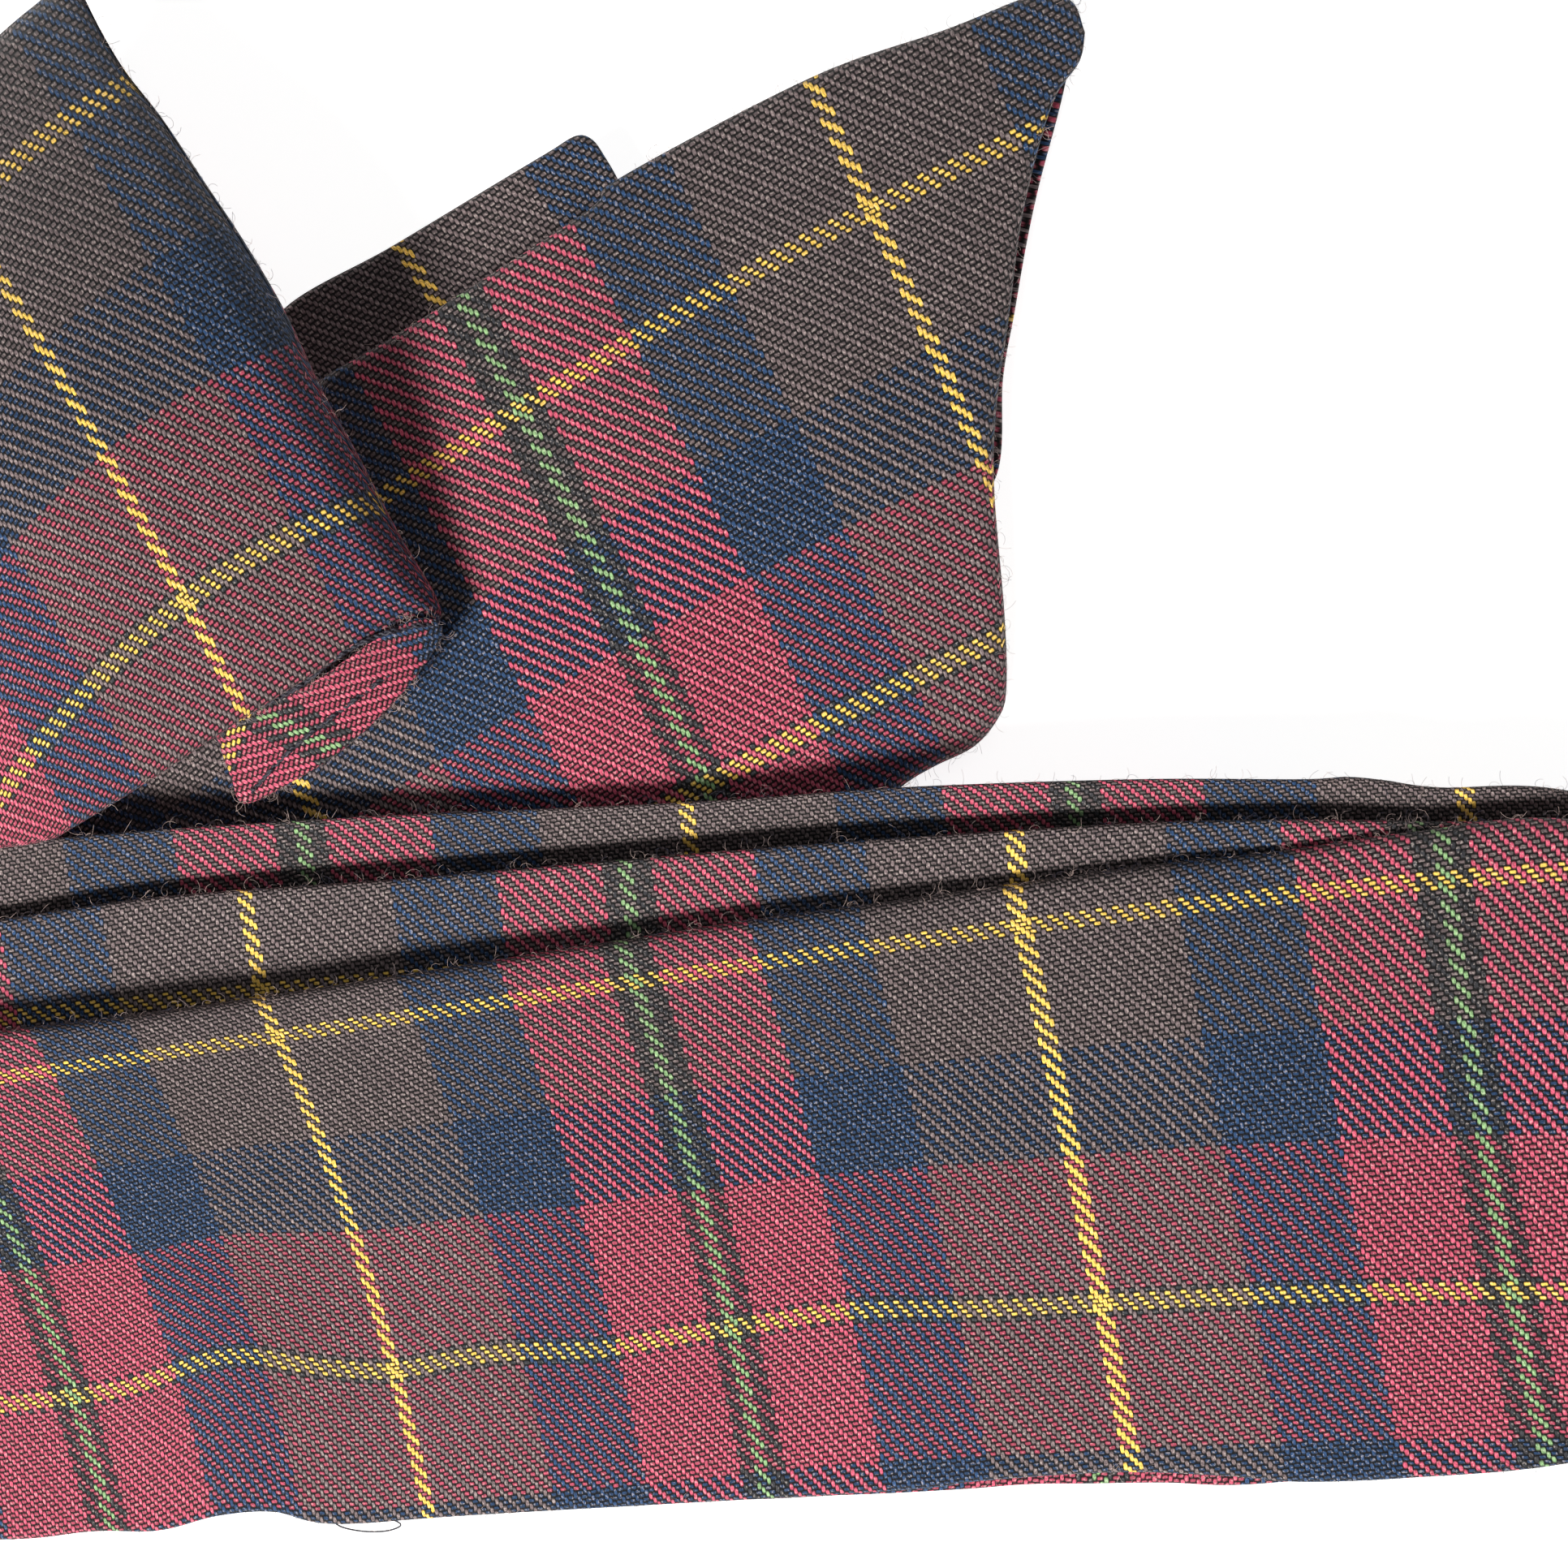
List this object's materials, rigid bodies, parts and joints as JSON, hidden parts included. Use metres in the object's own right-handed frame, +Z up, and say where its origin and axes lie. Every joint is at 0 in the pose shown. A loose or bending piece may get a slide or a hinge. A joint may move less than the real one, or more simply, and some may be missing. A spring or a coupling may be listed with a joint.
{
  "type": "bagpipes",
  "caption": "Bagpipes lying flat: clothed bag with a zip, stocks, bass and tenor drones that tune on their pins, blowpipe with a flap valve, chanter, and a folded tartan ribbon.",
  "frame": {"origin": "middle of the bag's flat resting face, on the surface the instrument lies on", "axes": "+Z up; +Y along the bass drone, from its stock to its bell; +X towards the back end of the bag, away from the chanter"},
  "size_m": [1.0946, 1.117, 0.097],
  "materials": {
    "cover_cloth": "worsted tartan twill",
    "ribbon_cloth": "worsted tartan twill, two layers",
    "bag_leather": "oiled hide",
    "zip_tape": "woven navy tape",
    "zip_metal": "nickel plated",
    "waxed_hemp": "wound waxed thread",
    "imitation_ivory": "polished",
    "ferrule_metal": "nickel plated, plain",
    "blackwood": "oiled African blackwood",
    "rubber": "matt",
    "reed_tongue": "thin sprung strip",
    "cane": "scraped cane",
    "staple_brass": "drawn tube"
  },
  "bodies": {
    "root": {"bag_cover": "cover_cloth", "air_bag": "bag_leather", "zip_tape": "zip_tape", "chanter_stock": "blackwood", "blowpipe_stock": "blackwood", "bass_stock": "blackwood", "middle_tenor_stock": "blackwood", "outer_tenor_stock": "blackwood", "stock_ferrules": "imitation_ivory", "stock_bindings": "waxed_hemp", "ribbon_run": "ribbon_cloth", "ribbon_fold": "ribbon_cloth", "ribbon_tail": "ribbon_cloth", "ribbon_knot": "ribbon_cloth"},
    "zip_slider": {"zip_slider": "zip_metal"},
    "zip_pull": {"zip_pull": "zip_metal"},
    "bass_bottom": {"bass_bottom_joint": "blackwood", "bass_bottom_mount": "imitation_ivory", "bass_bottom_hemp": "waxed_hemp", "bass_reed": "cane", "bass_reed_tongue": "reed_tongue"},
    "bass_bridle": {"bass_reed_bridle": "rubber"},
    "bass_middle": {"bass_middle_joint": "blackwood", "bass_middle_ferrule": "ferrule_metal", "bass_middle_mount": "imitation_ivory", "bass_middle_hemp": "waxed_hemp"},
    "bass_top": {"bass_top_joint": "blackwood", "bass_top_ferrule": "ferrule_metal", "bass_top_cap": "imitation_ivory"},
    "middle_tenor_bottom": {"middle_tenor_bottom_joint": "blackwood", "middle_tenor_mount": "imitation_ivory", "middle_tenor_hemp": "waxed_hemp", "middle_tenor_reed": "cane", "middle_tenor_reed_tongue": "reed_tongue"},
    "middle_tenor_bridle": {"middle_tenor_reed_bridle": "rubber"},
    "middle_tenor_top": {"middle_tenor_top_joint": "blackwood", "middle_tenor_ferrule": "ferrule_metal", "middle_tenor_cap": "imitation_ivory"},
    "outer_tenor_bottom": {"outer_tenor_bottom_joint": "blackwood", "outer_tenor_mount": "imitation_ivory", "outer_tenor_hemp": "waxed_hemp", "outer_tenor_reed": "cane", "outer_tenor_reed_tongue": "reed_tongue"},
    "outer_tenor_bridle": {"outer_tenor_reed_bridle": "rubber"},
    "outer_tenor_top": {"outer_tenor_top_joint": "blackwood", "outer_tenor_ferrule": "ferrule_metal", "outer_tenor_cap": "imitation_ivory"},
    "blowpipe": {"blowpipe": "blackwood", "blowpipe_mount": "imitation_ivory", "blowpipe_hemp": "waxed_hemp", "mouthpiece": "imitation_ivory", "valve_seat": "rubber"},
    "valve_flap": {"valve_flap": "rubber"},
    "chanter": {"chanter": "blackwood", "chanter_hemp": "waxed_hemp", "chanter_sole": "imitation_ivory", "chanter_reed_staple": "staple_brass", "chanter_reed_blades": "cane"}
  },
  "joints": [
    {"name": "zip_slide", "type": "slide", "parent": "root", "child": "zip_slider", "axis": [1, 0, 0], "range_m": [0, 0.194]},
    {"name": "zip_pull_swing", "type": "hinge", "parent": "zip_slider", "child": "zip_pull", "pos_m": [-0.047, -0.1326, 0.031], "axis": [-1, 0, 0], "range_deg": [0, 150]},
    {"name": "bass_twist", "type": "hinge", "parent": "root", "child": "bass_bottom", "pos_m": [0, 0.19, 0.031], "axis": [0, 1, 0], "continuous": true},
    {"name": "bass_bridle_slide", "type": "slide", "parent": "bass_bottom", "child": "bass_bridle", "axis": [0, 1, 0], "range_m": [-0.003, 0.003]},
    {"name": "bass_lower_tuning", "type": "slide", "parent": "bass_bottom", "child": "bass_middle", "axis": [0, 1, 0], "range_m": [-0.011, 0.04]},
    {"name": "bass_upper_tuning", "type": "slide", "parent": "bass_middle", "child": "bass_top", "axis": [0, 1, 0], "range_m": [-0.011, 0.04]},
    {"name": "middle_tenor_twist", "type": "hinge", "parent": "root", "child": "middle_tenor_bottom", "pos_m": [0.09192, 0.18152, 0.031], "axis": [0.1219, 0.9925, 0], "continuous": true},
    {"name": "middle_tenor_bridle_slide", "type": "slide", "parent": "middle_tenor_bottom", "child": "middle_tenor_bridle", "axis": [0.1219, 0.9925, 0], "range_m": [-0.003, 0.003]},
    {"name": "middle_tenor_tuning", "type": "slide", "parent": "middle_tenor_bottom", "child": "middle_tenor_top", "axis": [0.1219, 0.9925, 0], "range_m": [-0.011, 0.04]},
    {"name": "outer_tenor_twist", "type": "hinge", "parent": "root", "child": "outer_tenor_bottom", "pos_m": [0.17792, 0.15648, 0.031], "axis": [0.2756, 0.9613, 0], "continuous": true},
    {"name": "outer_tenor_bridle_slide", "type": "slide", "parent": "outer_tenor_bottom", "child": "outer_tenor_bridle", "axis": [0.2756, 0.9613, 0], "range_m": [-0.003, 0.003]},
    {"name": "outer_tenor_tuning", "type": "slide", "parent": "outer_tenor_bottom", "child": "outer_tenor_top", "axis": [0.2756, 0.9613, 0], "range_m": [-0.011, 0.04]},
    {"name": "blowpipe_twist", "type": "hinge", "parent": "root", "child": "blowpipe", "pos_m": [-0.18929, 0.1175, 0.031], "axis": [-0.866, 0.5, 0], "continuous": true},
    {"name": "valve_swing", "type": "hinge", "parent": "blowpipe", "child": "valve_flap", "pos_m": [-0.15534, 0.0979, 0.0232], "axis": [0.5, 0.866, 0], "range_deg": [0, 40]},
    {"name": "chanter_pull", "type": "slide", "parent": "root", "child": "chanter", "axis": [-0.9613, -0.2756, 0], "range_m": [0, 0.08]}
  ]
}
